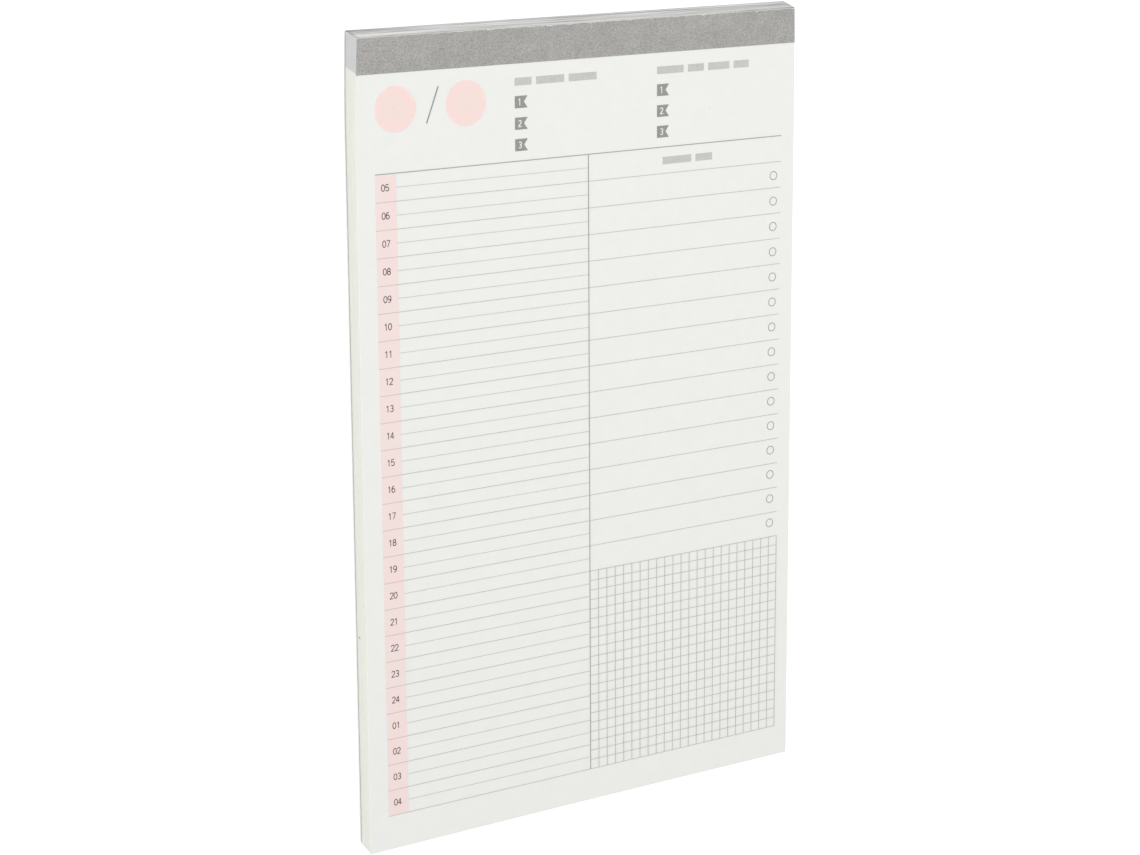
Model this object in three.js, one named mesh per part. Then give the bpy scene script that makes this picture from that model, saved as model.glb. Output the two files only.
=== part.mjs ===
// A glue-bound desk planner pad: a block of sheets on a chipboard backing board, held
// together by a film of padding glue along its top edge, with its first page printed.
//
// Millimetres. The pad lies on its back: +Z is up out of the printed page, +Y runs up the
// page to the bound edge and +X runs to the right of the page. The origin is at the middle
// of the pad's footprint, on the surface that it lies on.
import * as THREE from 'three';

// Pad
const PAGE_WIDTH = 151;
const PAGE_HEIGHT = 240;
const SHEETS_THICK = 5.7; // 57 sheets of 0.1 mm
const BOARD_THICK = 0.6;
const LEAN = 1.4; // the last sheet sits this much further up the page than the first
const BOARD_SHORT = 0.4; // the board ends this much before the last sheet's bottom edge
const FILM_THICK = 0.25;
const FILM_GAP = 0.05; // between the glue film and the bound edges that it covers

// Print: each layer of ink is a thin solid, and crossing lines lie one layer higher
const INK = 0.05;
const HEAD_HEIGHT = 38.6; // from the page's top edge to the main rule
const BAND_HEIGHT = 10.5;
const DIVIDER_X = 1; // right of the page's middle
const HOUR_ROW = 7.95;
const HOUR_ROWS = 24;
const GRID_TOP_ROW = 16; // the hour row at which the squared grid begins
const GRID_SQUARES_DOWN = 21;
const GRID_SQUARES_ACROSS = 23;
const SCHEDULE_WIDTH = 70.4; // from the divider to the left ends of the hour lines
const MAIN_WEIGHT = 0.22;
const HOUR_WEIGHT = 0.14;
const HALF_HOUR_WEIGHT = 0.1;
const GRID_WEIGHT = 0.15;

// Fields of colour, with places measured from the divider and the main rule
const COLUMN_WIDTH = 6.6;
const COLUMN_DROP = 0.5; // the pink column starts this far below the main rule
const DATE_DIAMETER = 13.1;
const DATE_X = [-63.6, -40.9];
const DATE_Y = 17.95;
const SLASH_FROM = [-53.7, 13.2];
const SLASH_TO = [-49.8, 23.4];
const SLASH_WEIGHT = 0.38;
const FLAG_WIDTH = 4.2;
const FLAG_HEIGHT = 3.5;
const FLAG_NOTCH = 1.2;
const FLAG_PITCH = 6.2;
const FLAG_TOP_Y = 18.8;
const GOAL_X = -24.8;
const NOTE_X = 24.1;
const NUMERAL_HEIGHT = 2.1;
const NUMERAL_WEIGHT = 0.36;
const NUMERAL_X = 1.65; // from the flag's left edge to the middle of its number
const BAR_HEIGHT = 2.2;
const BAR_GAP = 1.6;
const GOAL_BARS = [5.6, 9.4, 9.5];
const NOTE_BARS = [9.4, 5.7, 7.7, 5.5];
const CHECK_BARS = [10.3, 6];
const HEADING_Y = 22.9;
const CHECK_HEADING_X = 26.1;
const CHECK_HEADING_Y = -4.1;
const RING_DIAMETER = 2.75;
const RING_WEIGHT = 0.2;
const RING_INSET = 2.72; // from the right ends of the lines to the middle of a ring
const RING_DROP = 4.2; // from the first line below the main rule to the first ring's middle
const RING_PITCH = 7.89; // a little less than an hour row
const RINGS = 15;

const ARC_STEPS = 8; // per half turn of a numeral
const CIRCLE_STEPS = 24;

// Places worked out from the sizes
const GRID_SQUARE = HOUR_ROW * (HOUR_ROWS - GRID_TOP_ROW) / GRID_SQUARES_DOWN;
const PAGE_Z = BOARD_THICK + SHEETS_THICK;
const FRONT_BOTTOM_Y = -(PAGE_HEIGHT + LEAN + FILM_GAP + FILM_THICK) / 2;
const FRONT_TOP_Y = FRONT_BOTTOM_Y + PAGE_HEIGHT;
const BACK_BOTTOM_Y = FRONT_BOTTOM_Y + LEAN;
const BACK_TOP_Y = FRONT_TOP_Y + LEAN;
const RULE_Y = FRONT_TOP_Y - HEAD_HEIGHT;
const RIGHT_END = GRID_SQUARES_ACROSS * GRID_SQUARE;
const RING_X = RIGHT_END - RING_INSET;

const pageMaterial = (color, roughness = 0.85) =>
  new THREE.MeshStandardMaterial({ color, roughness, metalness: 0 });
const BOARD_GREY = pageMaterial(0xa7a49d, 0.9);
const PAPER = pageMaterial(0xeeeeea);
const FILM = pageMaterial(0xc4c8c9, 0.25);
const BAND_GREY = pageMaterial(0xa9a8a4);
const PINK = pageMaterial(0xf5dfd9);
const INK_GREY = pageMaterial(0xa4a4a0);
const LINE_GREY = pageMaterial(0xb4b4b0);
const HEADING_GREY = pageMaterial(0xc9c9c5);

const pad = new THREE.Group();

function add(name, geometry, material) {
  const mesh = new THREE.Mesh(geometry, material);
  mesh.name = name;
  pad.add(mesh);
  return mesh;
}

// A prism that runs the width of the page, from its outline seen from the left edge, in
// pairs of (y, z)
function crossPagePrism(outline) {
  const shape = new THREE.Shape(outline.map(([y, z]) => new THREE.Vector2(y, z)));
  const geometry = new THREE.ExtrudeGeometry(shape, { depth: PAGE_WIDTH, bevelEnabled: false });
  geometry.translate(0, 0, -PAGE_WIDTH / 2);
  const yzx = new THREE.Matrix4().makeBasis(
    new THREE.Vector3(0, 1, 0),
    new THREE.Vector3(0, 0, 1),
    new THREE.Vector3(1, 0, 0),
  );
  return geometry.applyMatrix4(yzx);
}

// A patch of ink in one of the print's layers, with its shape drawn from the point where
// the divider leaves the main rule
function addInk(name, shape, material, layer = 0, curveSegments = CIRCLE_STEPS) {
  const options = { depth: INK, bevelEnabled: false, curveSegments };
  const mesh = add(name, new THREE.ExtrudeGeometry(shape, options), material);
  mesh.position.set(DIVIDER_X, RULE_Y, PAGE_Z + layer * INK);
}

function rectangle(left, bottom, width, height) {
  const shape = new THREE.Shape();
  shape.moveTo(left, bottom);
  shape.lineTo(left + width, bottom);
  shape.lineTo(left + width, bottom + height);
  shape.lineTo(left, bottom + height);
  shape.closePath();
  return shape;
}

function polygon(points) {
  return new THREE.Shape(points.map(([x, y]) => new THREE.Vector2(x, y)));
}

function disc(x, y, radius) {
  const shape = new THREE.Shape();
  shape.absarc(x, y, radius, 0, 2 * Math.PI);
  return shape;
}

function addBackingBoard() {
  const bottom = BACK_BOTTOM_Y + BOARD_SHORT;
  add('backing_board', crossPagePrism([
    [bottom, 0],
    [BACK_TOP_Y, 0],
    [BACK_TOP_Y, BOARD_THICK],
    [bottom, BOARD_THICK],
  ]), BOARD_GREY);
}

// The sheets are one block, whose top and bottom edges slope with the lean
function addSheetBlock() {
  add('sheet_block', crossPagePrism([
    [BACK_BOTTOM_Y, BOARD_THICK],
    [BACK_TOP_Y, BOARD_THICK],
    [FRONT_TOP_Y, PAGE_Z],
    [FRONT_BOTTOM_Y, PAGE_Z],
  ]), PAPER);
}

// The glue film covers the bound edges of the board and the sheets, and bends with them
function addBindingFilm() {
  const inside = FILM_GAP;
  const outside = FILM_GAP + FILM_THICK;
  add('binding_film', crossPagePrism([
    [BACK_TOP_Y + inside, 0],
    [BACK_TOP_Y + outside, 0],
    [BACK_TOP_Y + outside, BOARD_THICK],
    [FRONT_TOP_Y + outside, PAGE_Z],
    [FRONT_TOP_Y + inside, PAGE_Z],
    [BACK_TOP_Y + inside, BOARD_THICK],
  ]), FILM);
}

// The band bleeds off three edges of the page
function addHeaderBand() {
  const left = -PAGE_WIDTH / 2 - DIVIDER_X;
  const band = rectangle(left, HEAD_HEIGHT - BAND_HEIGHT, PAGE_WIDTH, BAND_HEIGHT);
  addInk('header_band', band, BAND_GREY);
}

function addHourColumn() {
  const height = HOUR_ROWS * HOUR_ROW - COLUMN_DROP;
  const column = rectangle(-SCHEDULE_WIDTH, -COLUMN_DROP - height, COLUMN_WIDTH, height);
  addInk('hour_column', column, PINK);
}

// Two circles for the month and the day, with a slash between them
function addDate() {
  DATE_X.forEach((x, i) => {
    addInk(`date_circle_${i + 1}`, disc(x, DATE_Y, DATE_DIAMETER / 2), PINK);
  });
  const [x0, y0] = SLASH_FROM;
  const [x1, y1] = SLASH_TO;
  const length = Math.hypot(x1 - x0, y1 - y0);
  const side = [(y1 - y0) / length * SLASH_WEIGHT / 2, (x0 - x1) / length * SLASH_WEIGHT / 2];
  addInk('date_slash', polygon([
    [x0 - side[0], y0 - side[1]],
    [x0 + side[0], y0 + side[1]],
    [x1 + side[0], y1 + side[1]],
    [x1 - side[0], y1 - side[1]],
  ]), INK_GREY);
}

function arc(x, y, radius, fromDegrees, toDegrees) {
  const from = THREE.MathUtils.degToRad(fromDegrees);
  const to = THREE.MathUtils.degToRad(toDegrees);
  const steps = Math.max(2, Math.ceil(Math.abs(to - from) / Math.PI * ARC_STEPS));
  const points = [];
  for (let i = 0; i <= steps; i += 1) {
    const angle = from + (to - from) * i / steps;
    points.push([x + radius * Math.cos(angle), y + radius * Math.sin(angle)]);
  }
  return points;
}

// The outlines of the plain numbers 1, 2 and 3, centred on the origin. A bowl is a ring of
// the stroke's weight, and two bowls that share one stroke make the number's height.
const TOP = NUMERAL_HEIGHT / 2;
const BOWL = (NUMERAL_HEIGHT + NUMERAL_WEIGHT) / 4;
const BOWL_INSIDE = BOWL - NUMERAL_WEIGHT;
const BOWL_Y = TOP - BOWL;
const WAIST = THREE.MathUtils.radToDeg(Math.acos(Math.sqrt(NUMERAL_HEIGHT * NUMERAL_WEIGHT) / 2 / BOWL));

function one() {
  const half = NUMERAL_WEIGHT / 2;
  return [
    [half, TOP],
    [half, -TOP],
    [-half, -TOP],
    [-half, TOP - NUMERAL_WEIGHT * 1.4],
    [-half - NUMERAL_WEIGHT, TOP - NUMERAL_WEIGHT * 1.8],
    [-half - NUMERAL_WEIGHT, TOP - NUMERAL_WEIGHT],
    [-half * 0.4, TOP],
  ];
}

function two() {
  return [
    ...arc(0, BOWL_Y, BOWL, 165, -40),
    [-BOWL + NUMERAL_WEIGHT * 1.5, -TOP + NUMERAL_WEIGHT],
    [BOWL, -TOP + NUMERAL_WEIGHT],
    [BOWL, -TOP],
    [-BOWL, -TOP],
    [-BOWL, -TOP + NUMERAL_WEIGHT],
    ...arc(0, BOWL_Y, BOWL_INSIDE, -40, 165),
  ];
}

function three() {
  const half = NUMERAL_WEIGHT / 2;
  return [
    ...arc(0, BOWL_Y, BOWL, 155, -WAIST),
    ...arc(0, -BOWL_Y, BOWL, WAIST, -155).slice(1),
    ...arc(0, -BOWL_Y, BOWL_INSIDE, -155, 90),
    [-half, -half],
    [-half, half],
    ...arc(0, BOWL_Y, BOWL_INSIDE, -90, 155),
  ];
}

// Three swallow-tailed flags below a heading, numbered 1 to 3 by numbers left clear in them
function addFlags(prefix, left) {
  [one(), two(), three()].forEach((numeral, i) => {
    const top = FLAG_TOP_Y - i * FLAG_PITCH;
    const middle = top - FLAG_HEIGHT / 2;
    const flag = polygon([
      [left, top],
      [left, top - FLAG_HEIGHT],
      [left + FLAG_WIDTH, top - FLAG_HEIGHT],
      [left + FLAG_WIDTH - FLAG_NOTCH, middle],
      [left + FLAG_WIDTH, top],
    ]);
    const place = ([x, y]) => new THREE.Vector2(left + NUMERAL_X + x, middle + y);
    flag.holes.push(new THREE.Path(numeral.map(place)));
    addInk(`${prefix}_flag_${i + 1}`, flag, INK_GREY);
  });
}

// A heading is a row of plain grey bars
function addHeading(prefix, left, middle, widths) {
  let x = left;
  widths.forEach((width, i) => {
    const bar = rectangle(x, middle - BAR_HEIGHT / 2, width, BAR_HEIGHT);
    addInk(`${prefix}_heading_bar_${i + 1}`, bar, HEADING_GREY);
    x += width + BAR_GAP;
  });
}

// A ring to tick at the right end of each line of the list
function addCheckRings() {
  for (let i = 1; i <= RINGS; i += 1) {
    const y = -HOUR_ROW - RING_DROP - (i - 1) * RING_PITCH;
    const ring = disc(RING_X, y, RING_DIAMETER / 2);
    ring.holes.push(disc(RING_X, y, RING_DIAMETER / 2 - RING_WEIGHT));
    addInk(`check_ring_${i}`, ring, INK_GREY, 0, CIRCLE_STEPS / 2);
  }
}

// The lines that leave the divider to one side, from the top down, as rows, weights and
// the place where each ends
function scheduleLines() {
  const lines = [];
  for (let row = 1; row <= HOUR_ROWS; row += 1) {
    lines.push({ row: row - 0.5, weight: HALF_HOUR_WEIGHT, end: COLUMN_WIDTH - SCHEDULE_WIDTH });
    lines.push({ row, weight: HOUR_WEIGHT, end: -SCHEDULE_WIDTH });
  }
  return lines;
}

function listAndGridLines() {
  const lines = [];
  for (let row = 1; row < GRID_TOP_ROW; row += 1) {
    lines.push({ row, weight: HOUR_WEIGHT, end: RIGHT_END });
  }
  for (let square = 0; square < GRID_SQUARES_DOWN; square += 1) {
    const row = GRID_TOP_ROW + square * GRID_SQUARE / HOUR_ROW;
    lines.push({ row, weight: GRID_WEIGHT, end: RIGHT_END });
  }
  lines.push({ row: HOUR_ROWS, weight: HOUR_WEIGHT, end: RIGHT_END });
  return lines;
}

// The corners of the lines on one side of the divider, walked from the top down. The last
// line ends level with its neighbour across the divider, so its inner corner is left out.
function combSide(lines, root) {
  const points = [];
  lines.forEach(({ row, weight, end }) => {
    const y = -row * HOUR_ROW;
    points.push([root, y + weight / 2], [end, y + weight / 2]);
    points.push([end, y - weight / 2], [root, y - weight / 2]);
  });
  return points.slice(0, -1);
}

// The main rule, the divider and every line that leaves it are one connected outline
function addRuledLines() {
  const half = MAIN_WEIGHT / 2;
  addInk('ruled_lines', polygon([
    [-SCHEDULE_WIDTH, half],
    [-SCHEDULE_WIDTH, -half],
    [-half, -half],
    ...combSide(scheduleLines(), -half),
    ...combSide(listAndGridLines(), half).reverse(),
    [half, -half],
    [RIGHT_END, -half],
    [RIGHT_END, half],
  ]), LINE_GREY, 1);
}

// The upright lines of the grid hang from its first row, like the teeth of a comb
function addGridColumns() {
  const half = GRID_WEIGHT / 2;
  const top = -GRID_TOP_ROW * HOUR_ROW + half;
  const root = top - GRID_WEIGHT;
  const foot = -HOUR_ROWS * HOUR_ROW - half;
  const teeth = [];
  for (let square = 1; square <= GRID_SQUARES_ACROSS; square += 1) {
    const x = square * GRID_SQUARE;
    teeth.push([x - half, root], [x - half, foot], [x + half, foot], [x + half, root]);
  }
  addInk('grid_columns', polygon([
    [RIGHT_END + half, top],
    [GRID_SQUARE - half, top],
    ...teeth.slice(1, -1),
  ]), LINE_GREY, 2);
}

addBackingBoard();
addSheetBlock();
addBindingFilm();
addHeaderBand();
addHourColumn();
addDate();
addHeading('goal', GOAL_X, HEADING_Y, GOAL_BARS);
addFlags('goal', GOAL_X);
addHeading('note', NOTE_X, HEADING_Y, NOTE_BARS);
addFlags('note', NOTE_X);
addHeading('check', CHECK_HEADING_X, CHECK_HEADING_Y, CHECK_BARS);
addCheckRings();
addRuledLines();
addGridColumns();

export default pad;
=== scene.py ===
"""The planner pad as it looks: sheets that show at their edges, a wrinkled film of padding
glue, a chipboard back and soft grey and pink print, on a white floor."""
import math
import random

import bpy
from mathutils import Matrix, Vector, noise


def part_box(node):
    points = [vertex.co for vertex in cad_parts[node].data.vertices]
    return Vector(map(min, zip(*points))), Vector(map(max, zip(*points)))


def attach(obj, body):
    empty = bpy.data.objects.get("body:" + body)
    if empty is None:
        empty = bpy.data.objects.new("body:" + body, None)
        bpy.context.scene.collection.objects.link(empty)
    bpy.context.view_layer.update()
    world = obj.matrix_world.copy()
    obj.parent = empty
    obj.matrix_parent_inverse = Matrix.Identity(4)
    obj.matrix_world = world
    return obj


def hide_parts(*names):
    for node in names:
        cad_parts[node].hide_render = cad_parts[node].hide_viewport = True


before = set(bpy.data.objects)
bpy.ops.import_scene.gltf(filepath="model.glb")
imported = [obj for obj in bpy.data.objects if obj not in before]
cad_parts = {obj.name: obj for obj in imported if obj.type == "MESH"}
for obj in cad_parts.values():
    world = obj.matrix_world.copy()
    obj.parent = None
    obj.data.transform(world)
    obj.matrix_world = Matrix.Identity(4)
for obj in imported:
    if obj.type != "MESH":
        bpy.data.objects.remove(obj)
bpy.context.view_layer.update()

MM = 0.001


def node_box(name):
    """A node's lowest and highest corners in millimetres."""
    low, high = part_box(name)
    return [value / MM for value in low], [value / MM for value in high]


# Places read from the frame. Lengths are in millimetres where nothing else is said.
BLOCK_LOW, BLOCK_HIGH = node_box("sheet_block")
BOARD_LOW, BOARD_HIGH = node_box("backing_board")
BAND_LOW, BAND_HIGH = node_box("header_band")
COLUMN_LOW, COLUMN_HIGH = node_box("hour_column")
FILM_LOW, FILM_HIGH = node_box("binding_film")
PAGE_Z = BLOCK_HIGH[2]
PAGE_LEFT = BLOCK_LOW[0]
PAGE_RIGHT = BLOCK_HIGH[0]
PAGE_TOP = BAND_HIGH[1]
PAGE_BOTTOM = BLOCK_LOW[1]
LEAN = BLOCK_HIGH[1] - PAGE_TOP  # from the first page's top edge back to the board's
RULE_TOP = node_box("ruled_lines")[1][1]

# The middle of the divider, and the width of the divider and the main rule
DIVIDER_X = 1.0
STRONG_WIDTH = 0.22

# How the trimmed block departs from a plain one. Its sides draw in towards the binding, and
# further in the neck just below it. Its top edge slopes, and its foot slopes and bows.
SHEETS = 57
SHEET_GAP = 0.012
LEFT_TAPER = 0.42
LEFT_NECK = 1.0
RIGHT_NECK = 0.35
NECK_HEIGHT = 26.0
NECK_STEPS = 26
NECK_CURVE = 1.5
BACK_NECK_SHARE = 0.6
TOP_SLOPE = 0.15
FOOT_SLOPE = 0.66
FOOT_BOW = 0.26
FOOT_STEPS = 8
BOARD_INSET = 0.05

# The most that a sheet steps out of line, and how much of the last one's place it keeps
WANDER = 0.05
WANDER_KEPT = 0.7

# The glue. Each shade is an axis, the place where it is full and the place where it ends.
FILM_COLUMNS = 420
FILM_ROWS = 30
FILM_CLEAR = 0.02
FILM_THIN = 0.06
FILM_WRINKLE = 0.12
FILM_SHADES = (("Z", 0.3, 1.2), ("X", -74.2, -73.2))
LIP_COLUMNS = 900
LIP_INSET = 0.1
LIP_ROOT = 0.1
LIP_TIP_SUNK = 0.01
LIP_CREST = 0.04
LIP_CREST_SHARE = 0.4  # of the lip's reach, where its crest stands
CREEP_LEAST = 0.16
CREEP_LONG_WAVES = 0.45
CREEP_SHORT_WAVES = 0.8
DRIP_X = 61.0
DRIP_WIDTH = 0.22
DRIP_LENGTH = 0.6

HOURS = [(i + 4) % 24 + 1 for i in range(24)]
DIGIT_HEIGHT = 2.05
DIGIT_WIDTH = 1.95
DIGIT_WEIGHT = 0.22
DIGIT_STEP = 1.3
DIGIT_SHIFT = -0.2
DIGIT_THICK = 0.03
STROKE_OVERLAP = 0.18  # of a stroke's weight

# Flecks on the page, as their places and sizes, and one on the sheets' edges
FLECKS = ((-57.2, 96.1, 0.28), (-63.2, 99.1, 0.3), (44.0, 90.8, 0.25), (-54.8, -41.1, 0.3))
FLECK_THICK = 0.06
EDGE_FLECK = [(-75.45, -55.4), (-75.2, -55.5), (-75.2, -54.9), (-75.45, -54.8)]
EDGE_FLECK_LOW = 1.6
EDGE_FLECK_HIGH = 2.2

# The floor's size and drop in metres, and how strongly it glows where it is seen. The sky's
# strength is 1 where it is seen, and less as light.
FLOOR_REACH = 3.0
FLOOR_DROP = 0.0002
FLOOR_GLOW = 0.4
SKY = 0.72

# Colours used more than once, of 0 to 255
LINE_GREY = (192, 192, 189)
BOARD_GREY = (183, 181, 175)
CIRCLE_PINK = (248, 221, 216)


# Materials

def new_material(name, color, roughness, specular=0.25):
    """A material with one Principled shader, its node tree and that shader."""
    material = bpy.data.materials.new(name)
    material.use_nodes = True
    tree = material.node_tree
    shader = tree.nodes["Principled BSDF"]
    shader.inputs["Base Color"].default_value = (*linear(color), 1.0)
    shader.inputs["Roughness"].default_value = roughness
    shader.inputs["Specular IOR Level"].default_value = specular
    return material, tree, shader


def linear(color):
    """An sRGB colour of 0 to 255 as linear light."""
    parts = [value / 255 for value in color]
    return [p / 12.92 if p <= 0.04045 else ((p + 0.055) / 1.055) ** 2.4 for p in parts]


def around(color, spread):
    """The darker and the lighter colour on either side of one."""
    return [value - spread for value in color], [min(255, value + spread) for value in color]


def add_noise(tree, scale, detail=4.0, stretch=(1.0, 1.0, 1.0), roughness=0.5, turn=0.0):
    """A noise texture in the object's own millimetres, turned about Y once stretched."""
    place = tree.nodes.new("ShaderNodeTexCoord")
    mapping = tree.nodes.new("ShaderNodeMapping")
    mapping.inputs["Scale"].default_value = [s / MM for s in stretch]
    mapping.inputs["Rotation"].default_value = (0.0, turn, 0.0)
    texture = tree.nodes.new("ShaderNodeTexNoise")
    texture.inputs["Scale"].default_value = scale
    texture.inputs["Detail"].default_value = detail
    texture.inputs["Roughness"].default_value = roughness
    tree.links.new(place.outputs["Object"], mapping.inputs["Vector"])
    tree.links.new(mapping.outputs["Vector"], texture.inputs["Vector"])
    return texture.outputs["Fac"]


def add_math(tree, operation, *values):
    """The result of an operation on values, which are numbers or outputs."""
    node = tree.nodes.new("ShaderNodeMath")
    node.operation = operation
    for socket, value in zip(node.inputs, values):
        if isinstance(value, float):
            socket.default_value = value
        else:
            tree.links.new(value, socket)
    return node.outputs["Value"]


def color_ramp(tree, factor, stops):
    """Colours along a factor, from pairs of a place and an sRGB colour."""
    ramp = tree.nodes.new("ShaderNodeValToRGB")
    elements = ramp.color_ramp.elements
    while len(elements) < len(stops):
        elements.new(0.5)
    for element, (place, color) in zip(elements, stops):
        element.position = place
        element.color = (*linear(color), 1.0)
    tree.links.new(factor, ramp.inputs["Fac"])
    return ramp.outputs["Color"]


def mix_colors(tree, share, first, second, blend="MIX"):
    """Two colour outputs mixed, with this share of the second."""
    mix = tree.nodes.new("ShaderNodeMix")
    mix.data_type = "RGBA"
    mix.blend_type = blend
    mix.inputs["Factor"].default_value = share
    tree.links.new(first, mix.inputs["A"])
    tree.links.new(second, mix.inputs["B"])
    return mix.outputs["Result"]


def fade_in(tree, axis, start, end):
    """From 0 to 1 as the object's own X, Y or Z runs between two places."""
    place = tree.nodes.new("ShaderNodeTexCoord")
    parts = tree.nodes.new("ShaderNodeSeparateXYZ")
    spread = tree.nodes.new("ShaderNodeMapRange")
    spread.inputs["From Min"].default_value = start * MM
    spread.inputs["From Max"].default_value = end * MM
    tree.links.new(place.outputs["Object"], parts.inputs["Vector"])
    tree.links.new(parts.outputs[axis], spread.inputs["Value"])
    return spread.outputs["Result"]


def add_bump(tree, shader, height, strength, distance):
    """Relief on a surface, from a height of 0 to 1 and the distance that 1 stands for."""
    bump = tree.nodes.new("ShaderNodeBump")
    bump.inputs["Strength"].default_value = strength
    bump.inputs["Distance"].default_value = distance * MM
    tree.links.new(height, bump.inputs["Height"])
    tree.links.new(bump.outputs["Normal"], shader.inputs["Normal"])


def add_paper_tooth(tree, shader):
    """The fine tooth of uncoated paper."""
    add_bump(tree, shader, add_noise(tree, 6.0, 3.0), 0.25, 0.02)


def page_material():
    """Uncoated paper, with a faint cloudiness."""
    color = (238, 239, 235)
    material, tree, shader = new_material("page", color, 0.8)
    dark, light = around(color, 1)
    tone = color_ramp(tree, add_noise(tree, 0.25, 3.0), [(0.3, dark), (0.7, light)])
    tree.links.new(tone, shader.inputs["Base Color"])
    add_paper_tooth(tree, shader)
    return material


def edge_material(name, color, spread):
    """The cut edges of the sheets: fine streaks that run along the stack."""
    material, tree, shader = new_material(name, color, 0.85, specular=0.2)
    streaks = add_noise(tree, 1.0, 4.0, stretch=(0.06, 0.06, 9.0))
    dark, light = around(color, spread)
    tone = color_ramp(tree, streaks, [(0.3, dark), (0.7, light)])
    tree.links.new(tone, shader.inputs["Base Color"])
    add_bump(tree, shader, streaks, 0.3, 0.03)
    return material


def band_material():
    """Flat grey ink with the mottle of a chipboard pattern: soft clouds under fine grain."""
    material, tree, shader = new_material("band_grey", (164, 162, 159), 0.7)
    clouds = color_ramp(tree, add_noise(tree, 0.2, 3.0), [
        (0.3, (149, 148, 145)), (0.7, (171, 169, 166))])
    grain = color_ramp(tree, add_noise(tree, 2.4, 3.0, roughness=0.7), [
        (0.3, (118, 116, 113)), (0.7, (208, 206, 203))])
    tree.links.new(mix_colors(tree, 0.55, clouds, grain), shader.inputs["Base Color"])
    add_paper_tooth(tree, shader)
    return material


def ink_material(name, color, spread=4):
    """Thin ink on paper: its cover varies a little."""
    dark, light = around(color, spread)
    return two_tone_ink(name, dark, light, 1.2)


def two_tone_ink(name, first, second, scale):
    """Thin ink that drifts between two colours."""
    material, tree, shader = new_material(name, first, 0.75)
    tone = color_ramp(tree, add_noise(tree, scale, 4.0), [(0.35, first), (0.65, second)])
    tree.links.new(tone, shader.inputs["Base Color"])
    return material


def circle_material():
    """Watery ink in a date circle: beige at its middle, pinker outwards, paler at its rim."""
    material, tree, shader = new_material("pink_ink", (247, 221, 215), 0.75)
    place = tree.nodes.new("ShaderNodeTexCoord")
    mapping = tree.nodes.new("ShaderNodeMapping")
    mapping.inputs["Location"].default_value = (-0.5, -0.5, 0.0)
    mapping.inputs["Scale"].default_value = (1.0, 1.0, 0.0)
    reach = tree.nodes.new("ShaderNodeVectorMath")
    reach.operation = "LENGTH"
    tree.links.new(place.outputs["Generated"], mapping.inputs["Vector"])
    tree.links.new(mapping.outputs["Vector"], reach.inputs[0])
    ragged = add_math(
        tree, "MULTIPLY_ADD", add_noise(tree, 0.3, 3.0), 0.4, reach.outputs["Value"])
    tone = color_ramp(tree, ragged, [
        (0.4, (244, 223, 216)), (0.64, CIRCLE_PINK), (0.66, CIRCLE_PINK), (0.8, (247, 235, 230))])
    tree.links.new(tone, shader.inputs["Base Color"])
    return material


def line_material():
    """The ruled lines' ink, which is stronger in the main rule and the divider."""
    material, tree, shader = new_material("line_ink", LINE_GREY, 0.75)
    geometry = tree.nodes.new("ShaderNodeNewGeometry")
    parts = tree.nodes.new("ShaderNodeSeparateXYZ")
    tree.links.new(geometry.outputs["Position"], parts.inputs["Vector"])
    middles = (("X", DIVIDER_X), ("Y", RULE_TOP - STRONG_WIDTH / 2))
    within = [
        add_math(tree, "COMPARE", parts.outputs[axis], middle * MM, 0.6 * STRONG_WIDTH * MM)
        for axis, middle in middles]
    strong = add_math(tree, "MAXIMUM", *within)
    tone = color_ramp(tree, strong, [(0.0, LINE_GREY), (1.0, (162, 162, 159))])
    tree.links.new(tone, shader.inputs["Base Color"])
    return material


def board_material():
    """Grey chipboard: felted fibres, with darker and paler flecks."""
    material, tree, shader = new_material("chipboard", BOARD_GREY, 0.9, specular=0.15)
    felt = color_ramp(tree, add_noise(tree, 0.9, 6.0, roughness=0.65), [
        (0.3, (168, 166, 159)), (0.7, (198, 196, 190))])
    fibres = color_ramp(tree, add_noise(tree, 1.0, 2.0, stretch=(0.35, 3.0, 3.0)), [
        (0.32, (140, 137, 129)), (0.42, BOARD_GREY), (0.62, BOARD_GREY), (0.7, (210, 208, 203))])
    tree.links.new(mix_colors(tree, 0.4, felt, fibres), shader.inputs["Base Color"])
    add_bump(tree, shader, add_noise(tree, 3.0, 5.0), 0.5, 0.05)
    return material


def film_material():
    """Dried padding glue: a skin in grey and milky streaks that drift across the edge, darker
    over the board and at its left end."""
    material, tree, shader = new_material("padding_glue", (186, 186, 182), 0.45)
    streaks = add_noise(tree, 1.0, 4.0, stretch=(0.022, 0.5, 1.15), roughness=0.68, turn=0.7)
    tone = color_ramp(tree, streaks, [
        (0.34, (136, 138, 136)), (0.41, (171, 172, 170)), (0.48, (196, 197, 195)),
        (0.55, (215, 216, 213)), (0.66, (236, 236, 233))])
    for axis, start, end in FILM_SHADES:
        shade = color_ramp(tree, fade_in(tree, axis, start, end), [
            (0.0, (214, 215, 215)), (1.0, (255, 255, 255))])
        tone = mix_colors(tree, 1.0, tone, shade, "MULTIPLY")
    tree.links.new(tone, shader.inputs["Base Color"])
    add_bump(tree, shader, add_noise(tree, 1.0, 4.0, stretch=(0.2, 1.6, 1.6)), 0.3, 0.1)
    return material


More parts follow.
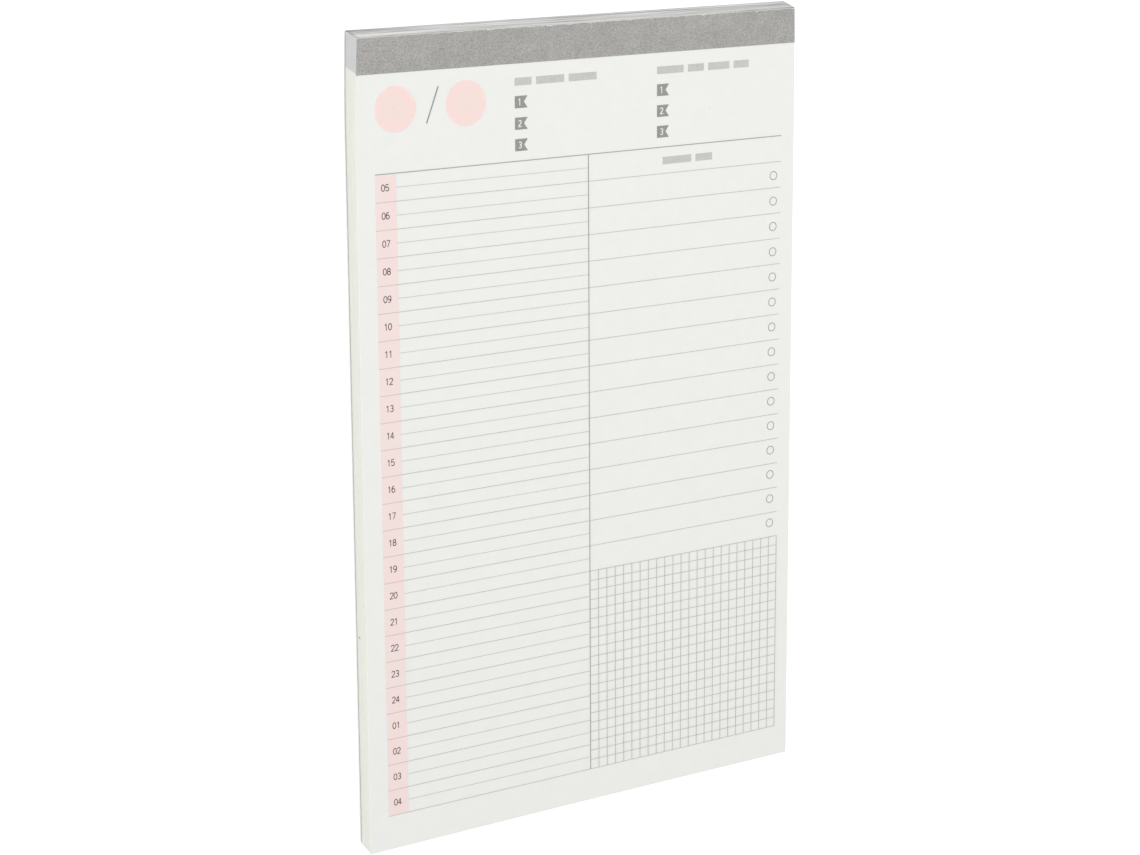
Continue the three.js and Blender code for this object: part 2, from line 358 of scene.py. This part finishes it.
MATERIALS = {
    "page": page_material(),
    # The edges are the page's paper, painted lighter than the page: painted light on the sides,
    # which the lamps leave darker.
    "edges": edge_material("sheet_edges_painted_lighter", (242, 243, 234), 4),
    "tinted_edges": edge_material("tinted_edges", (209, 210, 211), 5),
    "band": band_material(),
    "pink": circle_material(),
    "pink_column": two_tone_ink("pink_column_ink", (245, 222, 220), (242, 226, 221), 0.12),
    "grey": ink_material("grey_ink", (150, 150, 147)),
    "line": line_material(),
    "heading": ink_material("heading_ink", (198, 198, 195)),
    "digit": ink_material("digit_ink", (92, 90, 90)),
    "fleck": ink_material("fleck", (190, 185, 178)),
    "board": board_material(),
    "film": film_material(),
    # The glue's own edge, painted much lighter than the film: a painted highlight along the lip.
    "lip": ink_material("glue_lip_and_highlight", (230, 229, 225), 8),
}


# Mesh helpers

def make_piece(name, points, faces, materials, indices=None, smooth=False):
    """A mesh piece from points in millimetres, riding on the pad."""
    mesh = bpy.data.meshes.new(name)
    mesh.from_pydata([[value * MM for value in point] for point in points], [], faces)
    for material in materials:
        mesh.materials.append(MATERIALS[material])
    if indices:
        mesh.polygons.foreach_set("material_index", indices)
    mesh.polygons.foreach_set("use_smooth", [smooth] * len(mesh.polygons))
    mesh.update()
    piece = bpy.data.objects.new(name, mesh)
    bpy.context.scene.collection.objects.link(piece)
    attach(piece, "root")
    return piece


class Solids:
    """Points and faces of many closed prisms, gathered into one piece."""

    def __init__(self):
        self.points = []
        self.faces = []
        self.indices = []

    def add_prism(self, outline, low, high, side_index=None):
        """A prism up Z on an anticlockwise outline. side_index gives a side's material."""
        count = len(outline)
        start = len(self.points)
        for z in (low, high):
            self.points += [(x, y, z) for x, y in outline]
        self.faces.append([start + i for i in reversed(range(count))])
        self.faces.append([start + count + i for i in range(count)])
        self.indices += [0, 0]
        for i in range(count):
            j = (i + 1) % count
            self.faces.append([start + i, start + j, start + count + j, start + count + i])
            self.indices.append(side_index(outline[i], outline[j]) if side_index else 0)

    def make(self, name, materials):
        """The piece that holds all the prisms."""
        return make_piece(name, self.points, self.faces, materials, self.indices)


# The paper

def side_edges(shift):
    """The left and right edges of the sheet that is shifted this far up, as functions of y."""
    share = 1 - (1 - BACK_NECK_SHARE) * shift / LEAN

    def neck(y):
        return share * max(0.0, 1 - (PAGE_TOP + shift - y) / NECK_HEIGHT) ** NECK_CURVE

    def left(y):
        up = (y - shift - PAGE_BOTTOM) / (PAGE_TOP - PAGE_BOTTOM)
        return PAGE_LEFT + LEFT_TAPER * up + LEFT_NECK * neck(y)

    def right(y):
        return PAGE_RIGHT - RIGHT_NECK * neck(y)

    return left, right


def sheet_outline(shift, insets=(0.0, 0.0, 0.0), start=None):
    """A sheet's outline, anticlockwise from the left end of its foot or of a level start. The
    insets are taken off its left, right and foot."""
    left, right = side_edges(shift)
    top = PAGE_TOP + shift
    bends = [top - NECK_HEIGHT * (1 - i / NECK_STEPS) for i in range(NECK_STEPS + 1)]
    if start is None:
        foot, rise, bow = PAGE_BOTTOM + shift + insets[2], FOOT_SLOPE, FOOT_BOW
    else:
        foot, rise, bow = start, 0.0, 0.0
        bends = [y for y in bends if y > start]
    outline = []
    for i in range(FOOT_STEPS + 1):
        share = i / FOOT_STEPS
        x = left(foot) + (right(foot) - left(foot)) * share
        outline.append((x, foot + rise * share + 4 * bow * share * (1 - share)))
    outline += [(right(y), y) for y in bends]
    outline += [(left(y), y - (TOP_SLOPE if y == top else 0.0)) for y in reversed(bends)]
    middle = (PAGE_LEFT + PAGE_RIGHT) / 2
    return [(x + insets[0] if x < middle else x - insets[1], y) for x, y in outline]


def tinted_above(tint_from):
    """Which material a sheet's side takes: the tinted one where it stands beside the band."""
    def side_index(start, end):
        upright = abs(start[0] - end[0]) < abs(start[1] - end[1])
        return 2 if upright and (start[1] + end[1]) / 2 > tint_from else 1

    return side_index


def make_sheets():
    """The block of sheets, each a closed sheet of its own, a little out of line."""
    draw = random.Random(11)
    solids = Solids()
    thickness = (PAGE_Z - BLOCK_LOW[2]) / SHEETS
    band_height = BAND_HIGH[1] - BAND_LOW[1]
    wander = [0.0, 0.0, 0.0]
    for i in range(SHEETS):
        low = BLOCK_LOW[2] + i * thickness
        shift = LEAN * (1 - (i + 1) / SHEETS)
        wander = [WANDER_KEPT * w + draw.uniform(-WANDER, WANDER) for w in wander]
        insets = [abs(w) for w in wander] if i < SHEETS - 1 else [0.0, 0.0, 0.0]
        solids.add_prism(
            sheet_outline(shift, insets), low, low + thickness - SHEET_GAP,
            tinted_above(PAGE_TOP + shift - band_height))
    piece = solids.make("paper_sheets", ["page", "edges", "tinted_edges"])
    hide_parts("sheet_block")


def make_board():
    """The chipboard back, trimmed with the sheets."""
    solids = Solids()
    foot_inset = BOARD_LOW[1] - PAGE_BOTTOM - LEAN
    outline = sheet_outline(LEAN, (BOARD_INSET, BOARD_INSET, foot_inset))
    solids.add_prism(outline, BOARD_LOW[2], BOARD_HIGH[2] - SHEET_GAP)
    piece = solids.make("chipboard_back", ["board"])
    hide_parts("backing_board")


def make_band():
    """The grey band printed across the top of the first page, which bleeds off its edges."""
    solids = Solids()
    solids.add_prism(sheet_outline(0.0, start=BAND_LOW[1]), PAGE_Z, BAND_HIGH[2])
    piece = solids.make("band_print", ["band"])
    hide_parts("header_band")


# The film of padding glue

def top_edge(x):
    """Where the first page ends at its top, which slopes a little."""
    return PAGE_TOP - TOP_SLOPE * (PAGE_RIGHT - x) / (PAGE_RIGHT - PAGE_LEFT)


def creep(x):
    """How far the glue has crept over the page: long and short waves, and one drip."""
    reach = CREEP_LEAST + CREEP_LONG_WAVES * max(0.0, noise.noise(Vector((x * 0.3, 3.0, 0.0))))
    reach += CREEP_SHORT_WAVES * max(0.0, noise.noise(Vector((x * 1.7, 9.0, 0.0)))) ** 2
    return reach + DRIP_LENGTH * math.exp(-((x - DRIP_X) / DRIP_WIDTH) ** 2)


def make_lip():
    """The ragged edge of the glue on the first page, three-sided in section: a root inside
    the film, a tip on the page and a crest between them. Its light colour is the glue's own
    edge with a painted highlight along it."""
    points = []
    faces = []
    left, right = (side(PAGE_TOP) for side in side_edges(0.0))
    for i in range(LIP_COLUMNS + 1):
        x = left + LIP_INSET + (right - left - 2 * LIP_INSET) * i / LIP_COLUMNS
        edge = top_edge(x)
        reach = creep(x)
        points += [
            (x, edge + LIP_ROOT, PAGE_Z - LIP_ROOT),
            (x, edge - reach, BAND_HIGH[2] - LIP_TIP_SUNK),
            (x, edge - LIP_CREST_SHARE * reach, BAND_HIGH[2] + LIP_CREST),
        ]
    for i in range(LIP_COLUMNS):
        a = 3 * i
        for j in range(3):
            k = (j + 1) % 3
            faces.append([a + j, a + k, a + 3 + k, a + 3 + j])
    a = 3 * LIP_COLUMNS
    faces += [[2, 1, 0], [a, a + 1, a + 2]]
    piece = make_piece("glue_lip_and_highlight", points, faces, ["lip"])


def skin_thickness(x, z):
    """How thick the film is: wrinkled, and thinner over the board."""
    wrinkle = noise.noise(Vector((x * 0.12, z * 1.3, 1.0)))
    wrinkle += 0.5 * noise.noise(Vector((x * 0.5, z * 2.2, 5.0)))
    return FILM_THIN + FILM_WRINKLE * (0.5 + 0.5 * wrinkle) * min(1.0, 0.3 + z)


def make_film():
    """A wrinkled skin that covers the bound edges and follows their lean."""
    points = []
    for outer in (False, True):
        for i in range(FILM_COLUMNS + 1):
            for j in range(FILM_ROWS + 1):
                z = FILM_LOW[2] + (PAGE_Z - FILM_LOW[2]) * j / FILM_ROWS
                shift = LEAN * min(1.0, (PAGE_Z - z) / (PAGE_Z - BOARD_HIGH[2]))
                left, right = (side(PAGE_TOP + shift) for side in side_edges(shift))
                x = left + (right - left) * i / FILM_COLUMNS
                inner_y = top_edge(x) + shift + FILM_CLEAR
                y = inner_y + (skin_thickness(x, z) if outer else 0.0)
                points.append((x, min(y, FILM_HIGH[1]), z))
    step = FILM_ROWS + 1
    count = (FILM_COLUMNS + 1) * step
    faces = []
    for i in range(FILM_COLUMNS):
        for j in range(FILM_ROWS):
            a = i * step + j
            faces.append([a, a + step, a + step + 1, a + 1])
            faces.append([count + a, count + a + 1, count + a + step + 1, count + a + step])
    for i in range(FILM_COLUMNS):
        a = i * step
        faces.append([a, count + a, count + a + step, a + step])
        a += FILM_ROWS
        faces.append([a, a + step, count + a + step, count + a])
    for j in range(FILM_ROWS):
        faces.append([j, j + 1, count + j + 1, count + j])
        a = FILM_COLUMNS * step + j
        faces.append([a, count + a, count + a + 1, a + 1])
    piece = make_piece("glue_film", points, faces, ["film"], smooth=True)
    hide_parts("binding_film")


# The plain numbers of the hours, drawn with strokes of even weight

def arc(x, y, rx, ry, start, end, steps=14):
    """Points along an arc, with angles in degrees."""
    angles = [math.radians(start + (end - start) * i / steps) for i in range(steps + 1)]
    return [(x + rx * math.cos(a), y + ry * math.sin(a)) for a in angles]


def oval(x, y, rx, ry):
    """Points all round an oval."""
    return arc(x, y, rx, ry, 0, 360, 28)


# Each digit's strokes, in shares of its width and height from its middle
STROKES = {
    "0": [oval(0, 0, 0.26, 0.45)],
    "1": [[(-0.17, 0.27), (0.04, 0.45), (0.04, -0.45)]],
    "2": [arc(0, 0.2, 0.25, 0.25, 165, -35) + [(-0.26, -0.45), (0.28, -0.45)]],
    "3": [arc(0, 0.225, 0.22, 0.225, 150, -90), arc(0, -0.225, 0.25, 0.225, 90, -150)],
    "4": [[(0.1, -0.45), (0.1, 0.45), (-0.28, -0.2), (0.28, -0.2)]],
    "5": [[(0.22, 0.45), (-0.18, 0.45), (-0.23, 0.02)] + arc(0, -0.17, 0.26, 0.28, 140, -150)],
    "6": [oval(0, -0.17, 0.25, 0.28), arc(0.07, -0.05, 0.32, 0.5, 175, 75)],
    "7": [[(-0.26, 0.45), (0.26, 0.45), (-0.08, -0.45)]],
    "8": [oval(0, 0.23, 0.21, 0.22), oval(0, -0.21, 0.25, 0.24)],
    "9": [oval(0, 0.17, 0.25, 0.28), arc(-0.07, 0.05, 0.32, 0.5, -5, -105)],
}


def add_stroke(solids, points, low, high):
    """A ribbon of even weight along the points, as one box for each stretch."""
    for (x0, y0), (x1, y1) in zip(points, points[1:]):
        length = math.hypot(x1 - x0, y1 - y0)
        dx = (x1 - x0) / length * DIGIT_WEIGHT
        dy = (y1 - y0) / length * DIGIT_WEIGHT
        along = (dx * STROKE_OVERLAP, dy * STROKE_OVERLAP)
        side = (dy / 2, -dx / 2)
        solids.add_prism([
            (x0 - along[0] + side[0], y0 - along[1] + side[1]),
            (x1 + along[0] + side[0], y1 + along[1] + side[1]),
            (x1 + along[0] - side[0], y1 + along[1] - side[1]),
            (x0 - along[0] - side[0], y0 - along[1] - side[1]),
        ], low, high)


def make_hour_numbers():
    """The hours in the pink column, each in the middle of its row."""
    solids = Solids()
    middle = (COLUMN_LOW[0] + COLUMN_HIGH[0]) / 2 + DIGIT_SHIFT
    row = (RULE_TOP - COLUMN_LOW[1]) / len(HOURS)
    for i, hour in enumerate(HOURS):
        y = RULE_TOP - (i + 0.5) * row
        for j, digit in enumerate(f"{hour:02d}"):
            x = middle + (j - 0.5) * DIGIT_STEP
            for stroke in STROKES[digit]:
                line = [(x + px * DIGIT_WIDTH, y + py * DIGIT_HEIGHT) for px, py in stroke]
                add_stroke(solids, line, COLUMN_HIGH[2], COLUMN_HIGH[2] + DIGIT_THICK)
    piece = solids.make("hour_numbers", ["digit"])


# Small faults of the real pad

def make_marks():
    """Flecks with five uneven corners on the page, and one on the edges of the sheets."""
    solids = Solids()
    for x, y, size in FLECKS:
        outline = []
        for i in range(5):
            turn = math.radians(72 * i + 20 * size)
            reach = size * (0.4 + 0.15 * (i % 2))
            outline.append((x + reach * math.cos(turn), y + reach * math.sin(turn)))
        solids.add_prism(outline, PAGE_Z, PAGE_Z + FLECK_THICK)
    solids.add_prism(EDGE_FLECK, EDGE_FLECK_LOW, EDGE_FLECK_HIGH)
    piece = solids.make("flecks", ["fleck"])


# The frame's own nodes keep their shapes. A part of a node's name tells its ink.
NODE_INKS = {
    "heading_bar": "heading",
    "ruled_lines": "line",
    "grid_columns": "line",
    "hour_column": "pink_column",
    "date_circle": "pink",
    "date_slash": "grey",
    "flag": "grey",
    "ring": "grey",
}


def dress_nodes():
    """Gives each printed node of the frame its ink."""
    for name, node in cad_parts.items():
        for part, ink in NODE_INKS.items():
            if part in name:
                for slot in node.material_slots:
                    slot.material = MATERIALS[ink]


# Stage, light and camera

def make_floor():
    """A white floor just below the pad, which also glows where it is seen."""
    signs = ((-1, -1), (1, -1), (1, 1), (-1, 1))
    mesh = bpy.data.meshes.new("floor")
    mesh.from_pydata([(x * FLOOR_REACH, y * FLOOR_REACH, 0) for x, y in signs], [], [range(4)])
    floor = bpy.data.objects.new("floor", mesh)
    floor.location.z = -FLOOR_DROP
    bpy.context.scene.collection.objects.link(floor)
    material = bpy.data.materials.new("floor_white")
    material.use_nodes = True
    tree = material.node_tree
    tree.nodes.clear()
    diffuse = tree.nodes.new("ShaderNodeBsdfDiffuse")
    diffuse.inputs["Color"].default_value = (0.86, 0.86, 0.86, 1)
    glow = tree.nodes.new("ShaderNodeEmission")
    both = tree.nodes.new("ShaderNodeAddShader")
    output = tree.nodes.new("ShaderNodeOutputMaterial")
    tree.links.new(seen_directly(tree, FLOOR_GLOW), glow.inputs["Strength"])
    tree.links.new(diffuse.outputs["BSDF"], both.inputs[0])
    tree.links.new(glow.outputs["Emission"], both.inputs[1])
    tree.links.new(both.outputs["Shader"], output.inputs["Surface"])
    mesh.materials.append(material)


def seen_directly(tree, strength):
    """A strength for rays from the camera and for what shines or is clear, and none else."""
    path = tree.nodes.new("ShaderNodeLightPath")
    total = path.outputs["Is Camera Ray"]
    for name in ("Is Glossy Ray", "Is Transmission Ray"):
        total = add_math(tree, "MAXIMUM", total, path.outputs[name])
    return add_math(tree, "MULTIPLY", total, strength)


def make_world():
    """A plain sky that is seen as white and lights the pad a little less."""
    world = bpy.data.worlds.new("studio")
    world.use_nodes = True
    tree = world.node_tree
    background = tree.nodes["Background"]
    background.inputs["Color"].default_value = (1, 1, 1, 1)
    strength = add_math(tree, "ADD", seen_directly(tree, 1.0 - SKY), SKY)
    tree.links.new(strength, background.inputs["Strength"])
    bpy.context.scene.world = world


def add_softbox(name, place, target, size, watts):
    """A square lamp at a place in metres, turned to a target."""
    light = bpy.data.lights.new(name, "AREA")
    light.shape = "SQUARE"
    light.size = size
    light.energy = watts
    lamp = bpy.data.objects.new(name, light)
    lamp.location = place
    lamp.rotation_euler = (Vector(target) - Vector(place)).to_track_quat("-Z", "Y").to_euler()
    bpy.context.scene.collection.objects.link(lamp)


def make_camera():
    """The photo's view. The lens is shifted because the picture isn't centred on its axis."""
    camera = bpy.data.cameras.new("camera")
    camera.sensor_width = 36
    camera.lens = 87.732
    camera.shift_x = -0.0441
    camera.shift_y = -0.0359
    camera.clip_start = 0.01
    holder = bpy.data.objects.new("camera", camera)
    holder.location = Vector((-429.16, 202.45, 687.21)) * MM
    holder.rotation_euler = [math.radians(angle) for angle in (-13.346, -32.956, -0.075)]
    bpy.context.scene.collection.objects.link(holder)
    bpy.context.scene.camera = holder


make_camera()
make_sheets()
make_board()
make_band()
make_film()
make_lip()
make_hour_numbers()
make_marks()
dress_nodes()
make_floor()
make_world()
add_softbox("key", (0.1, 0.27, 0.75), (0.02, 0.02, 0), size=0.5, watts=1.8)
add_softbox("fill", (-0.95, 0.05, 0.17), (-0.07, 0, 0), size=0.3, watts=2.15)
bpy.context.scene.view_settings.view_transform = "Standard"
